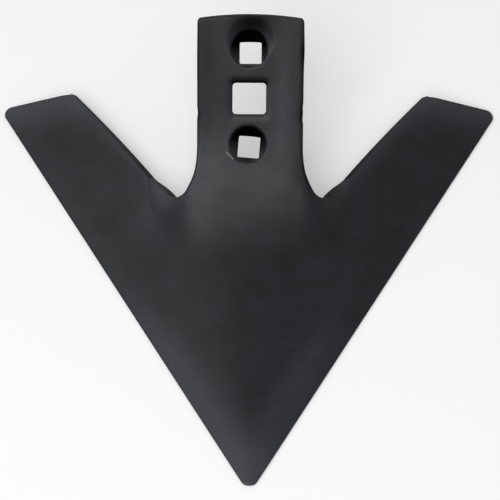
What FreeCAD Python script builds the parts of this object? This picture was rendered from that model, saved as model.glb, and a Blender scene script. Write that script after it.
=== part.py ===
import FreeCAD, Part
import Sketcher
import math
import os

doc = FreeCAD.newDocument("cultivator_sweep")
V = FreeCAD.Vector

# Driving sizes in millimetres and degrees. Plan sizes are measured on the underside of the plate,
# from the point where the lines of the two cutting edges meet: X across, Y back, Z up.
driving = (
    ("plate_thickness", 6.35, "thickness of the plate"),
    ("edge_angle", 30.0, "cutting edge from the centre line, in plan"),
    ("nose_radius", 3.5, "rounding of the point"),
    ("tip_span", 301.4, "across the rounded wing tips"),
    ("tip_radius", 4.5, "rounding of a wing tip"),
    ("wing_end_angle", 4.9, "how far a wing end leans back towards the stem"),
    ("wing_end_span", 214.6, "between the inner corners of the wings"),
    ("trailing_radius", 1300.0, "bow of a trailing edge"),
    ("notch_spacing", 81.2, "between the centres of the two notches"),
    ("notch_bottom", 186.2, "front of a notch"),
    ("notch_radius", 4.4, "radius of a notch"),
    ("flare_radius", 46.0, "where the stem widens into the blade"),
    ("stem_width", 63.5, "width of the stem"),
    ("stem_length", 117.4, "from the bend's corner to the middle of the stem's end"),
    ("stem_angle", 47.0, "stem above the ground"),
    ("end_radius", 200.0, "crown of the stem's end"),
    ("end_corner", 2.0, "rounding of the corners of the stem's end"),
    ("ridge_angle", 6.63, "the blade's ridge above the ground"),
    ("ridge_spread", 0.25, "how fast the ridge grows broader away from the point"),
    ("ridge_round", 2.0, "rounding of the ridge at the point"),
    ("bend_corner", 184.53, "from the point to where the ridge and stem lines cross"),
    ("bend_radius", 135.0, "radius of the bend on the underside"),
    ("bend_half_width", 20.0, "half of the bend's full width where it leaves the ridge"),
    ("stem_margin", 2.25, "how far the stem's plane runs out past its sides"),
    ("fade_half_width", 62.0, "where the bend has faded into a wing, off the centre line"),
    ("fade_delay", 18.8, "how far behind the notch the fade starts to follow the trailing edge"),
    ("upper_hole", 94.0, "upper bolt hole, up the stem from the bend's corner"),
    ("hole_spacing", 57.15, "between the two bolt holes"),
    ("middle_drop", 27.4, "middle hole below the upper bolt hole"),
    ("hole_shift", 0.6, "middle and lower holes left of the centre line"),
    ("bolt_hole_width", 13.0, "bolt hole across the stem"),
    ("bolt_hole_height", 13.6, "bolt hole along the stem"),
    ("bolt_hole_corner", 0.9, "corner radius of a bolt hole"),
    ("bolt_hole_turn", 4.7, "how far the lower bolt hole is punched askew"),
    ("middle_hole_size", 20.1, "side of the middle hole"),
    ("middle_hole_corner", 2.2, "corner radius of the middle hole"),
    ("dimple_depth", 3.6, "depth of the dimple round a bolt hole"),
    ("throat_radius", 6.3, "radius at the bottom of a dimple"),
    ("upper_ring_radius", 11.3, "mouth of the upper dimple"),
    ("upper_ring_rise", 3.3, "mouth of the upper dimple above its hole"),
    ("upper_ring_shift", 0.8, "mouth of the upper dimple left of its hole"),
    ("lower_ring_radius", 11.1, "mouth of the lower dimple"),
    ("lower_ring_rise", 3.25, "mouth of the lower dimple above its hole"),
    ("lower_ring_shift", 0.6, "mouth of the lower dimple left of its hole"),
    ("scoop_radius", 42.0, "radius of the hollow drawn down at the stem's end"),
    ("scoop_depth", 2.4, "depth of that hollow"),
    ("scoop_rise", 9.0, "middle of that hollow above the upper bolt hole"),
    ("grind_height", 4.1, "what is ground off below the cutting edges"),
    ("cut_reach", 4.0, "how far in front of the stem its cuts begin"),
    ("grid_step", 4.0, "spacing of the points that carry the formed surface"),
)
sizes = doc.addObject("Spreadsheet::Sheet", "sizes")
for row, (alias, value, meaning) in enumerate(driving, 1):
    sizes.set(f"A{row}", meaning)
    sizes.set(f"B{row}", str(value))
    sizes.setAlias(f"B{row}", alias)
doc.recompute()


def size(alias):
    return float(getattr(sizes, alias))


def angle(alias):
    return math.radians(size(alias))


def evaluate(formula):
    return float(sizes.evalExpression(formula))


# Outline of the plate in plan
def tangent_centre(first, second, first_distance, second_distance):
    """Point at the two distances from two points, right of the line from the first to the second."""
    base = second - first
    along = (first_distance ** 2 - second_distance ** 2 + base.Length ** 2) / (2 * base.Length)
    aside = math.sqrt(first_distance ** 2 - along ** 2)
    base.normalize()
    return first + base * along + V(base.y, -base.x) * aside


def toward(start, end, distance):
    return start + (end - start).normalize() * distance


def right_outline():
    """Right half from the point to the stem's end: a run is (start, end), an arc (start, centre, end)."""
    edge_normal = V(math.cos(angle("edge_angle")), -math.sin(angle("edge_angle")))
    end_normal = V(math.sin(angle("wing_end_angle")), math.cos(angle("wing_end_angle")))
    nose_centre = V(0, size("nose_radius") / math.sin(angle("edge_angle")))
    nose_end = nose_centre + edge_normal * size("nose_radius")
    tip_radius = size("tip_radius")
    tip_x = size("tip_span") / 2 - tip_radius
    tip_y = (tip_x + tip_radius * edge_normal.x) / math.tan(angle("edge_angle")) - tip_radius * edge_normal.y
    tip_centre = V(tip_x, tip_y)
    tip_start = tip_centre + edge_normal * tip_radius
    tip_end = tip_centre + end_normal * tip_radius
    inner_x = size("wing_end_span") / 2
    inner = V(inner_x, tip_end.y + (tip_end.x - inner_x) * math.tan(angle("wing_end_angle")))
    notch_radius = size("notch_radius")
    notch = V(size("notch_spacing") / 2, size("notch_bottom") + notch_radius)
    trail_radius = size("trailing_radius")
    trail = tangent_centre(notch, inner, trail_radius + notch_radius, trail_radius)
    trail_end = toward(notch, trail, notch_radius)
    side = size("stem_width") / 2
    flare_radius = size("flare_radius")
    reach = side + flare_radius - notch.x
    flare = notch + V(reach, math.sqrt((flare_radius - notch_radius) ** 2 - reach ** 2))
    flare_start = toward(flare, notch, flare_radius)
    flare_end = V(side, flare.y)
    crown_radius = size("end_radius") / math.cos(angle("stem_angle"))
    crown = V(0, size("bend_corner") + size("stem_length") * math.cos(angle("stem_angle")) - crown_radius)
    corner_radius = size("end_corner")
    corner_x = side - corner_radius
    corner = crown + V(corner_x, math.sqrt((crown_radius - corner_radius) ** 2 - corner_x ** 2))
    corner_start = corner + V(corner_radius, 0)
    corner_end = toward(crown, corner, crown_radius)
    half = (
        (nose_end, tip_start),
        (tip_start, tip_centre, tip_end),
        (tip_end, inner),
        (inner, trail, trail_end),
        (trail_end, notch, flare_start),
        (flare_start, flare, flare_end),
        (flare_end, corner_start),
        (corner_start, corner, corner_end),
    )
    return nose_centre, crown, half


def add_run(sketch, start, end):
    """Straight run; returns its number and the numbers of its first and last points."""
    return sketch.addGeometry(Part.LineSegment(start, end), False), 1, 2


def add_arc(sketch, start, centre, end):
    """Arc of under half a turn; returns its number and the numbers of its first and last points."""
    forward = (start - centre).cross(end - centre).z > 0
    first, last = (start, end) if forward else (end, start)
    circle = Part.Circle(centre, V(0, 0, 1), (start - centre).Length)
    turn = [math.atan2(point.y - centre.y, point.x - centre.x) for point in (first, last)]
    number = sketch.addGeometry(Part.ArcOfCircle(circle, *turn), False)
    return (number, 1, 2) if forward else (number, 2, 1)


def bind(sketch, name, kind, elements, formula):
    """Adds a named dimension and ties it to the sheet."""
    value = evaluate(formula)
    if kind == "Angle":
        value = math.radians(value)
    number = sketch.addConstraint(Sketcher.Constraint(kind, *elements, value))
    sketch.renameConstraint(number, name)
    sketch.setExpression("Constraints." + name, formula)


def draw_outline(sketch):
    nose_centre, crown, half = right_outline()
    nose_start = half[0][0]
    crown_end = half[-1][2]
    nose = add_arc(sketch, V(-nose_start.x, nose_start.y), nose_centre, nose_start)
    end = add_arc(sketch, crown_end, crown, V(-crown_end.x, crown_end.y))
    for sign, hand in ((1, "right"), (-1, "left")):
        parts = []
        for piece in half:
            points = [V(sign * point.x, point.y) for point in piece]
            parts.append(add_run(sketch, *points) if len(points) == 2 else add_arc(sketch, *points))
        edge, tip, wing_end, trail, notch, flare, side, corner = parts
        sketch.addConstraint(Sketcher.Constraint("Tangent", nose[0], 2 if sign == 1 else 1, edge[0], 1))
        for before, after in ((edge, tip), (tip, wing_end), (trail, notch), (notch, flare), (flare, side),
                              (side, corner)):
            sketch.addConstraint(Sketcher.Constraint("Tangent", before[0], before[2], after[0], after[1]))
        sketch.addConstraint(Sketcher.Constraint("Tangent", corner[0], corner[2], end[0], 1 if sign == 1 else 2))
        sketch.addConstraint(Sketcher.Constraint("Coincident", wing_end[0], 2, trail[0], trail[1]))
        sketch.addConstraint(Sketcher.Constraint("PointOnObject", -1, 1, edge[0]))
        sketch.addConstraint(Sketcher.Constraint("Vertical", side[0]))
        for name, part in (("tip", tip), ("trailing", trail), ("notch", notch), ("flare", flare)):
            bind(sketch, f"{hand}_{name}_radius", "Radius", (part[0],), f"sizes.{name}_radius")
        bind(sketch, f"{hand}_corner_radius", "Radius", (corner[0],), "sizes.end_corner")
        bind(sketch, f"{hand}_edge_angle", "Angle", (edge[0],), f"90 - {sign} * sizes.edge_angle")
        bind(sketch, f"{hand}_wing_end_angle", "Angle", (wing_end[0],),
             f"90 + {sign} * (90 - sizes.wing_end_angle)")
        for name, part, point, formula in (
                ("tip_place", tip, 3, "sizes.tip_span / 2 - sizes.tip_radius"),
                ("inner_place", wing_end, 2, "sizes.wing_end_span / 2"),
                ("notch_place", notch, 3, "sizes.notch_spacing / 2"),
                ("side_place", side, 1, "sizes.stem_width / 2")):
            bind(sketch, f"{hand}_{name}", "DistanceX", (-1, 1, part[0], point), f"{sign} * ({formula})")
        bind(sketch, f"{hand}_notch_depth", "DistanceY", (-1, 1, notch[0], 3),
             "sizes.notch_bottom + sizes.notch_radius")
    bind(sketch, "nose_radius", "Radius", (nose[0],), "sizes.nose_radius")
    bind(sketch, "crown_radius", "Radius", (end[0],), "sizes.end_radius / cos(sizes.stem_angle)")
    sketch.addConstraint(Sketcher.Constraint("PointOnObject", end[0], 3, -2))
    bind(sketch, "crown_place", "DistanceY", (-1, 1, end[0], 3),
         "sizes.bend_corner + sizes.stem_length * cos(sizes.stem_angle)"
         " - sizes.end_radius / cos(sizes.stem_angle)")


def lay_on_stem(sketch, place, depth):
    """Ties a sketch's place to the stem, so far below its front face: X across, Y up the stem."""
    setattr(sketch, place, FreeCAD.Placement(V(), FreeCAD.Rotation(V(1, 0, 0), size("stem_angle"))))
    lift = f"(sizes.plate_thickness - {depth})"
    sketch.setExpression(place + ".Rotation.Angle", "sizes.stem_angle")
    sketch.setExpression(place + ".Base.y", f"sizes.bend_corner - {lift} * sin(sizes.stem_angle)")
    sketch.setExpression(place + ".Base.z",
                         f"sizes.bend_corner * tan(sizes.ridge_angle) + {lift} * cos(sizes.stem_angle)")


def draw_rounded(sketch, name, across, along, width, height, radius, turn):
    """Rounded rectangle; its middle, size, corner radius and turn follow the sheet."""
    spin = FreeCAD.Rotation(V(0, 0, 1), evaluate(turn))
    middle = V(evaluate(across), evaluate(along))
    rounding = evaluate(radius)
    half = V(evaluate(width) / 2 - rounding, evaluate(height) / 2 - rounding)
    arcs = []
    for quarter, corner in enumerate((V(1, 1), V(-1, 1), V(-1, -1), V(1, -1))):
        centre = V(corner.x * half.x, corner.y * half.y)
        start = centre + FreeCAD.Rotation(V(0, 0, 1), 90 * quarter).multVec(V(rounding))
        end = centre + FreeCAD.Rotation(V(0, 0, 1), 90 * quarter + 90).multVec(V(rounding))
        arcs.append(add_arc(sketch, *[middle + spin.multVec(point) for point in (start, centre, end)]))
    runs = []
    for arc, after in zip(arcs, arcs[1:] + arcs[:1]):
        run = add_run(sketch, sketch.getPoint(arc[0], arc[2]), sketch.getPoint(after[0], after[1]))
        sketch.addConstraint(Sketcher.Constraint("Tangent", arc[0], arc[2], run[0], 1))
        sketch.addConstraint(Sketcher.Constraint("Tangent", run[0], 2, after[0], after[1]))
        runs.append(run[0])
    top, left, bottom, right = runs
    sketch.addConstraint(Sketcher.Constraint("Parallel", top, bottom))
    sketch.addConstraint(Sketcher.Constraint("Parallel", left, right))
    sketch.addConstraint(Sketcher.Constraint("Perpendicular", top, left))
    for arc in arcs[1:]:
        sketch.addConstraint(Sketcher.Constraint("Equal", arcs[0][0], arc[0]))
    point = sketch.addGeometry(Part.Point(middle), True)
    sketch.addConstraint(Sketcher.Constraint("Symmetric", arcs[0][0], 3, arcs[2][0], 3, point, 1))
    bind(sketch, name + "_radius", "Radius", (arcs[0][0],), radius)
    bind(sketch, name + "_turn", "Angle", (right,), f"90 + {turn}")
    bind(sketch, name + "_width", "Distance", (arcs[0][0], 3, arcs[1][0], 3), f"{width} - 2 * {radius}")
    bind(sketch, name + "_height", "Distance", (arcs[1][0], 3, arcs[2][0], 3), f"{height} - 2 * {radius}")
    bind(sketch, name + "_across", "DistanceX", (-1, 1, point, 1), across)
    bind(sketch, name + "_along", "DistanceY", (-1, 1, point, 1), along)


outline = doc.addObject("Sketcher::SketchObject", "outline")
draw_outline(outline)

# Square holes, punched through the stem before it is formed
upper = ("0", "sizes.upper_hole")
middle = ("-sizes.hole_shift", "(sizes.upper_hole - sizes.middle_drop)")
lower = ("-sizes.hole_shift", "(sizes.upper_hole - sizes.hole_spacing)")
bolt_square = ("sizes.bolt_hole_width", "sizes.bolt_hole_height", "sizes.bolt_hole_corner")
middle_square = ("sizes.middle_hole_size", "sizes.middle_hole_size", "sizes.middle_hole_corner")
holes = doc.addObject("Sketcher::SketchObject", "square_holes")
lay_on_stem(holes, "Placement", "sizes.plate_thickness")
draw_rounded(holes, "upper", *upper, *bolt_square, "0")
draw_rounded(holes, "middle", *middle, *middle_square, "0")
draw_rounded(holes, "lower", *lower, *bolt_square, "(-sizes.bolt_hole_turn)")
doc.recompute()


# Underside of the formed plate: two wings that meet in a ridge, bent up into the flat stem
def smooth_step(share):
    share = min(max(share, 0.0), 1.0)
    return share ** 3 * (10 - 15 * share + 6 * share * share)


class Underside:
    """Height of the plate's underside over the ground plan."""

    def __init__(self):
        self.spread = size("ridge_spread")
        self.edge_slope = math.hypot(math.tan(angle("edge_angle")), self.spread)
        self.fall = math.tan(angle("ridge_angle")) / (self.edge_slope - self.spread)
        self.ridge_slope = math.tan(angle("ridge_angle"))
        self.stem_slope = math.tan(angle("stem_angle"))
        self.bend_radius = size("bend_radius")
        self.corner_y = size("bend_corner")
        self.corner_z = self.corner_y * self.ridge_slope
        tangent = self.bend_radius * math.tan((angle("stem_angle") - angle("ridge_angle")) / 2)
        self.bend_start = self.corner_y - tangent * math.cos(angle("ridge_angle"))
        self.bend_end = self.corner_y + tangent * math.cos(angle("stem_angle"))
        self.centre_y = self.bend_start - self.bend_radius * math.sin(angle("ridge_angle"))
        self.centre_z = self.bend_start * self.ridge_slope + self.bend_radius * math.cos(angle("ridge_angle"))
        inner = outline_half[2][1]
        notch = outline_half[4][1]
        self.trail_slope = (inner.x - notch.x) / (inner.y - notch.y)
        self.fade_start = size("notch_bottom") + size("fade_delay")

    def wing(self, x, y):
        ridge = math.sqrt(x * x + (self.spread * y) ** 2 + size("ridge_round") ** 2)
        return self.fall * (self.edge_slope * y - ridge)

    def middle(self, y):
        """Ridge line, bend and stem line along the centre."""
        if y < self.bend_start:
            return self.ridge_slope * y
        if y > self.bend_end:
            return self.corner_z + self.stem_slope * (y - self.corner_y)
        return self.centre_z - math.sqrt(self.bend_radius ** 2 - (y - self.centre_y) ** 2)

    def height(self, x, y):
        bent = smooth_step((y - self.bend_start) / (self.bend_end - self.bend_start))
        stem_half = size("stem_width") / 2 + size("stem_margin")
        full = size("bend_half_width") + bent * (stem_half - size("bend_half_width"))
        faded = size("fade_half_width") + self.trail_slope * max(y - self.fade_start, 0)
        share = 1 - smooth_step((abs(x) - full) / (faded - full))
        rise = self.middle(y) - self.ridge_slope * y
        flattening = bent * (self.wing(0, y) - self.wing(x, y))
        return self.wing(x, y) + share * (rise + flattening)


outline_half = right_outline()[2]
form = Underside()
step = size("grid_step")
margin = 2  # rows of points past the outline
columns = math.ceil(size("tip_span") / 2 / step) + margin
rows = math.ceil(outline_half[2][1].y / step) + margin
grid = [[V(x * step, y * step, form.height(x * step, y * step)) for y in range(-margin, rows + 1)]
        for x in range(-columns, columns + 1)]
surface = Part.BSplineSurface()
surface.interpolate(grid)
underside = doc.addObject("Part::Feature", "underside")
underside.Shape = surface.toShape()

# Blank: the outline carried up through the formed surface, then thickened square to it
prism = doc.addObject("Part::Extrusion", "outline_prism")
prism.Base = outline
prism.Dir = V(0, 0, 1)
prism.Solid = True
prism.setExpression("LengthFwd", "sizes.bend_corner + sizes.stem_length")
prism.setExpression("LengthRev", "sizes.stem_width")
skin = doc.addObject("Part::Common", "formed_skin")
skin.Base = underside
skin.Tool = prism
punches = doc.addObject("Part::Extrusion", "punches")
punches.Base = holes
punches.DirMode = "Normal"
punches.Solid = True
punches.Symmetric = True
punches.setExpression("LengthFwd", "2 * (sizes.plate_thickness + sizes.cut_reach)")
punched = doc.addObject("Part::Cut", "punched_skin")
punched.Base = skin
punched.Tool = punches
plate = doc.addObject("Part::Offset", "formed_plate")
plate.Source = punched
plate.Fill = True
plate.setExpression("Value", "sizes.plate_thickness")
doc.recompute()


# The plate's cuts: the hollow at the stem's end, the dimples round the bolt holes and the ground edges
sweep = doc.addObject("PartDesign::Body", "sweep")
sweep.Label = "sweep"
sweep.BaseFeature = plate
doc.recompute()


def origin_plane(role):
    return next(feature for feature in sweep.Origin.OriginFeatures if feature.Role == role)


def body_sketch(name):
    sketch = sweep.newObject("Sketcher::SketchObject", name)
    sketch.AttachmentSupport = [(origin_plane("XY_Plane"), "")]
    sketch.MapMode = "FlatFace"
    return sketch


def stem_sketch(name, depth):
    sketch = body_sketch(name)
    lay_on_stem(sketch, "AttachmentOffset", depth)
    return sketch


def draw_circle(sketch, across, along, radius):
    circle = Part.Circle(V(evaluate(across), evaluate(along)), V(0, 0, 1), evaluate(radius))
    number = sketch.addGeometry(circle, False)
    bind(sketch, "across", "DistanceX", (-1, 1, number, 3), across)
    bind(sketch, "along", "DistanceY", (-1, 1, number, 3), along)
    bind(sketch, "radius", "Radius", (number,), radius)


def check_cut(feature, before):
    """Stops the script where a cut has taken nothing away."""
    doc.recompute()
    if feature.Shape.isNull() or feature.Shape.Volume > before - 1:
        raise RuntimeError(feature.Label + " cuts nothing")
    return feature.Shape.Volume


hollow = sweep.newObject("PartDesign::SubtractiveSphere", "end_hollow")
hollow.AttachmentSupport = [(origin_plane("XY_Plane"), "")]
hollow.MapMode = "FlatFace"
hollow.AttachmentOffset = FreeCAD.Placement(V(), FreeCAD.Rotation(V(1, 0, 0), size("stem_angle")))
hollow.setExpression("Radius", "sizes.scoop_radius")
up = "(sizes.upper_hole + sizes.scoop_rise)"
out = "(sizes.plate_thickness + sizes.scoop_radius - sizes.scoop_depth)"
hollow.setExpression("AttachmentOffset.Base.y",
                     f"sizes.bend_corner + {up} * cos(sizes.stem_angle) - {out} * sin(sizes.stem_angle)")
hollow.setExpression("AttachmentOffset.Base.z",
                     "sizes.bend_corner * tan(sizes.ridge_angle)"
                     f" + {up} * sin(sizes.stem_angle) + {out} * cos(sizes.stem_angle)")
volume = check_cut(hollow, plate.Shape.Volume)

# Each dimple leans towards the stem's end: its mouth lies above and left of the square hole
mouth_share = "(sizes.cut_reach / sizes.dimple_depth)"
for name, (across, along) in (("upper", upper), ("lower", lower)):
    ring = f"sizes.{name}_ring_"
    throat = stem_sketch(name + "_dimple_throat", "sizes.dimple_depth")
    draw_circle(throat, across, along, "sizes.throat_radius")
    mouth = stem_sketch(name + "_dimple_mouth", "-sizes.cut_reach")
    draw_circle(mouth, f"{across} - {ring}shift * (1 + {mouth_share})",
                f"{along} + {ring}rise * (1 + {mouth_share})",
                f"{ring}radius + ({ring}radius - sizes.throat_radius) * {mouth_share}")
    dimple = sweep.newObject("PartDesign::SubtractiveLoft", name + "_dimple")
    dimple.Profile = throat
    dimple.Sections = [mouth]
    volume = check_cut(dimple, volume)

# Both cutting edges are ground from below, level with the soil
ground = body_sketch("ground_level")
ground.setExpression("AttachmentOffset.Base.z", "sizes.grind_height")
draw_circle(ground, "0", "0", "2 * sizes.tip_span")
grind = sweep.newObject("PartDesign::Pocket", "ground_edges")
grind.Profile = ground
grind.setExpression("Length", "sizes.stem_width")
volume = check_cut(grind, volume)
sweep.Tip = grind

# The sweep lies on its ground edges, its box centred on the origin
box = sweep.Shape.optimalBoundingBox(False)
sweep.Placement = FreeCAD.Placement(V(0, -(box.YMin + box.YMax) / 2, -size("grind_height")), FreeCAD.Rotation())
doc.recompute()

for thing in doc.Objects:
    if "Invalid" in thing.State or "Error" in thing.State:
        raise RuntimeError(thing.Label + " did not recompute")
if sweep.Shape.isNull() or not sweep.Shape.isValid() or len(sweep.Shape.Solids) != 1:
    raise RuntimeError("the sweep is not one valid solid")

os.makedirs("parts", exist_ok=True)
sweep.Shape.exportStep("parts/" + sweep.Label + ".step")
box = sweep.Shape.optimalBoundingBox(False)
print("sweep", round(box.XLength, 2), round(box.YLength, 2), round(box.ZLength, 2), "mm, volume",
      round(sweep.Shape.Volume), "mm3")
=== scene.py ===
import bpy
import bmesh
import math
import numpy as np
from mathutils import Matrix, Vector
from mathutils.geometry import delaunay_2d_cdt


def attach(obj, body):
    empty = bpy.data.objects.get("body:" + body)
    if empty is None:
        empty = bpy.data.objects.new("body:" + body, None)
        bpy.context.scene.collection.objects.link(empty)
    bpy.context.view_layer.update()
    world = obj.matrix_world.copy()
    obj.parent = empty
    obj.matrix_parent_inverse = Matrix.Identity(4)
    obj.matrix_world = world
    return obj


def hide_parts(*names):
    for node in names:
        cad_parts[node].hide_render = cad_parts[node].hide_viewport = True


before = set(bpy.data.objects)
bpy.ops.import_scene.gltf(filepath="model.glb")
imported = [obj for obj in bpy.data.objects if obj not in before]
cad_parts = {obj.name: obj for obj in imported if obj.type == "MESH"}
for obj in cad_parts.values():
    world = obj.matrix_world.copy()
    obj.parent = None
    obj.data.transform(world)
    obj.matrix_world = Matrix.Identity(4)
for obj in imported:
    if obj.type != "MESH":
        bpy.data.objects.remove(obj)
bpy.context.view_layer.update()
print("frame loaded")


def toLinear(code):
    # sRGB hex to the linear colour a shader reads
    values = [int(code[i:i + 2], 16) / 255 for i in (1, 3, 5)]
    return [v / 12.92 if v <= 0.04045 else ((v + 0.055) / 1.055) ** 2.4 for v in values] + [1.0]


def addNode(tree, kind, settings=None, inputs=None):
    # an input is either another node's socket or a plain value
    node = tree.nodes.new(kind)
    for name, value in (settings or {}).items():
        setattr(node, name, value)
    for name, value in (inputs or {}).items():
        if isinstance(value, bpy.types.NodeSocket):
            tree.links.new(value, node.inputs[name])
        else:
            node.inputs[name].default_value = value
    return node


# Camera at the photograph's angle, in metres and degrees
view = {
    "target": (0.0, 0.0037, 0.0209),
    "distance": 1.728,
    "elevation": 58.0,
    "azimuth": -1.03,
    "roll": 1.19,
    "focalPixels": 2901.0,
    "framePixels": 500.0,
    "shift": (0.001, 0.030),
    "sensorWidth": 36.0,    # mm
    "farthest": 20.0,
}


def makeCamera():
    elevation = math.radians(view["elevation"])
    azimuth = math.radians(view["azimuth"])
    roll = math.radians(view["roll"])
    level = math.cos(elevation)
    back = Vector((math.sin(azimuth) * level, -math.cos(azimuth) * level, math.sin(elevation)))
    right = Vector((math.cos(azimuth), math.sin(azimuth), 0.0))
    up = back.cross(right)
    rolledRight = right * math.cos(roll) + up * math.sin(roll)
    rolledUp = up * math.cos(roll) - right * math.sin(roll)
    data = bpy.data.cameras.new("camera")
    data.sensor_width = view["sensorWidth"]
    data.lens = view["focalPixels"] / view["framePixels"] * view["sensorWidth"]
    data.shift_x, data.shift_y = view["shift"]
    data.clip_end = view["farthest"]
    camera = bpy.data.objects.new("camera", data)
    turn = Matrix((rolledRight, rolledUp, back)).transposed().to_4x4()
    camera.matrix_world = Matrix.Translation(Vector(view["target"]) + back * view["distance"]) @ turn
    bpy.context.collection.objects.link(camera)
    bpy.context.scene.camera = camera


makeCamera()

# Lamps as softboxes aimed at the sweep: places and sizes in metres, power in watts
studio = {
    "worldLevel": 0.4,
    "floorCode": "#f4f4f4",
    "floorRoughness": 0.9,
    "floorGlow": 0.22,      # lifts the paper to white and still leaves the shadow
    "floorSize": 14.0,
    "lamps": {
        "frontBox": {"place": (-0.46, -1.08, 1.66), "size": 1.35, "power": 19.3},
        "leftBox": {"place": (-1.10, 0.60, 1.64), "size": 1.1, "power": 3.4},
    },
    "cardCode": "#050505",
    "cardRoughness": 0.8,
    "cards": {              # black flags below the picture, for the dark reflections in the dimples
        "frontCard": {"middle": (0.0, -0.62, 0.002), "size": (1.2, 0.84)},
    },
}


def addSheet(name, middle, size, code, roughness):
    # a level rectangle of paper or card
    x, y, z = middle
    width, depth = size
    corners = [(x + i * width / 2, y + j * depth / 2, z) for i, j in ((-1, -1), (1, -1), (1, 1), (-1, 1))]
    mesh = bpy.data.meshes.new(name)
    mesh.from_pydata(corners, [], [(0, 1, 2, 3)])
    sheet = bpy.data.objects.new(name, mesh)
    bpy.context.collection.objects.link(sheet)
    material = bpy.data.materials.new(name + " paper")
    material.use_nodes = True
    mesh.materials.append(material)
    shader = material.node_tree.nodes["Principled BSDF"]
    shader.inputs["Base Color"].default_value = toLinear(code)
    shader.inputs["Roughness"].default_value = roughness
    return sheet


def makeStudio():
    white = (1.0, 1.0, 1.0, 1.0)
    scene = bpy.context.scene
    scene.view_settings.view_transform = "Standard"
    world = bpy.data.worlds.new("studio")
    scene.world = world
    world.use_nodes = True
    background = world.node_tree.nodes["Background"]
    background.inputs["Strength"].default_value = studio["worldLevel"]
    background.inputs["Color"].default_value = white
    for name, box in studio["lamps"].items():
        lamp = bpy.data.lights.new(name, "AREA")
        lamp.energy = box["power"]
        lamp.size = box["size"]
        light = bpy.data.objects.new(name, lamp)
        light.location = box["place"]
        light.rotation_euler = (-Vector(box["place"])).to_track_quat("-Z", "Y").to_euler()
        bpy.context.collection.objects.link(light)
    size = studio["floorSize"]
    floor = addSheet("floor", (0, 0, 0), (size, size), studio["floorCode"], studio["floorRoughness"])
    tree = floor.data.materials[0].node_tree
    rays = addNode(tree, "ShaderNodeLightPath").outputs
    seen = rays["Is Camera Ray"]
    for other in ("Is Glossy Ray", "Is Transmission Ray"):
        seen = addNode(tree, "ShaderNodeMath", {"operation": "MAXIMUM"}, {0: seen, 1: rays[other]}).outputs[0]
    glow = addNode(tree, "ShaderNodeMath", {"operation": "MULTIPLY"},
                   {0: seen, 1: studio["floorGlow"]}).outputs[0]
    shader = tree.nodes["Principled BSDF"]
    shader.inputs["Emission Color"].default_value = white
    tree.links.new(glow, shader.inputs["Emission Strength"])
    for name, card in studio["cards"].items():
        flag = addSheet(name, card["middle"], card["size"], studio["cardCode"], studio["cardRoughness"])
        flag.visible_camera = False
        flag.visible_diffuse = False
        flag.visible_shadow = False


makeStudio()
print("camera, lights and floor placed")

# The flat blank in mm: x across, y back from the point, z through the plate from its underside
blank = {
    "thickness": 6.35,
    "edgeAngle": 30.0,
    "noseRadius": 3.5,
    "tipSpan": 301.4,
    "tipRadius": 4.5,
    "wingEndAngle": 4.9,
    "wingEndSpan": 214.6,
    "trailRadius": 1300.0,
    "notchSpacing": 81.2,
    "notchBottom": 186.2,
    "notchRadius": 4.4,
    "flareRadius": 46.0,
    "stemWidth": 63.5,
    "stemLength": 117.4,
    "endRadius": 200.0,
    "endCorner": 2.0,
    "bottomRounding": 0.6,
    "holeRounding": 0.45,
    "rollSoftness": 3.0,    # over which the die roll changes from one stretch to the next
}
# How finely it is drawn: mm between points, degrees, or rows of points round an edge and down a wall
fineness = {
    "outline": 1.7,
    "coarsestTurn": 11.0,
    "front": 1.9,
    "back": 2.8,
    "dimple": 0.6,
    "dimpleReach": 15.0,    # of the finer triangles round a dimple
    "holeSide": 0.9,
    "holeCorner": 5,
    "mouth": 3,
    "holeWall": 5,
    "roll": 6,
    "wall": 9,
    "bottom": 3,
    "clearOfEdge": 0.55,    # share of a triangle's size
    "clearOfOutline": 0.4,
}
# Die roll left by the blanking press along the front: (width, depth) for each stretch from the point on
dieRoll = {
    "nose": (1.6, 0.8),
    "cuttingEdge": (1.5, 0.7),
    "tip": (1.3, 0.6),
    "wingEnd": (1.1, 0.5),
    "trailingEdge": (0.9, 0.5),
    "notch": (1.1, 0.5),
    "flare": (2.2, 0.8),
    "stemSide": (3.0, 0.9),
    "endCorner": (1.2, 0.6),
    "stemEnd": (1.0, 0.5),
}
# Nicks and bulges of the stem's sides: side, height up the stem, reach along the side, depth into it
nicks = [
    (1, 55.0, 2.0, 0.5),
    (1, 61.0, 2.2, 0.35),
    (-1, 58.0, 2.2, 0.5),
    (1, 97.0, 10.0, -0.35),
    (-1, 92.0, 16.0, -0.15),
]
# The form it is bent to while hot
form = {
    "stemAngle": 47.0,
    "ridgeAngle": 6.63,
    "ridgeSpread": 0.25,    # how the ridge broadens towards the stem
    "ridgeRound": 2.0,
    "bendCorner": 184.53,   # where the ridge's line and the stem's would meet
    "bendRadius": 135.0,
    "bendHalfWidth": 20.0,
    "stemMargin": 2.25,     # flat beyond the stem's sides
    "fadeHalfWidth": 62.0,  # where the bend has run out into the wing
    "fadeDelay": 18.8,      # behind the notch, from where that half width grows
    "grindHeight": 4.1,
    "noseToMiddle": 136.275,    # from the blade's point to the middle of the finished sweep
}
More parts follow.
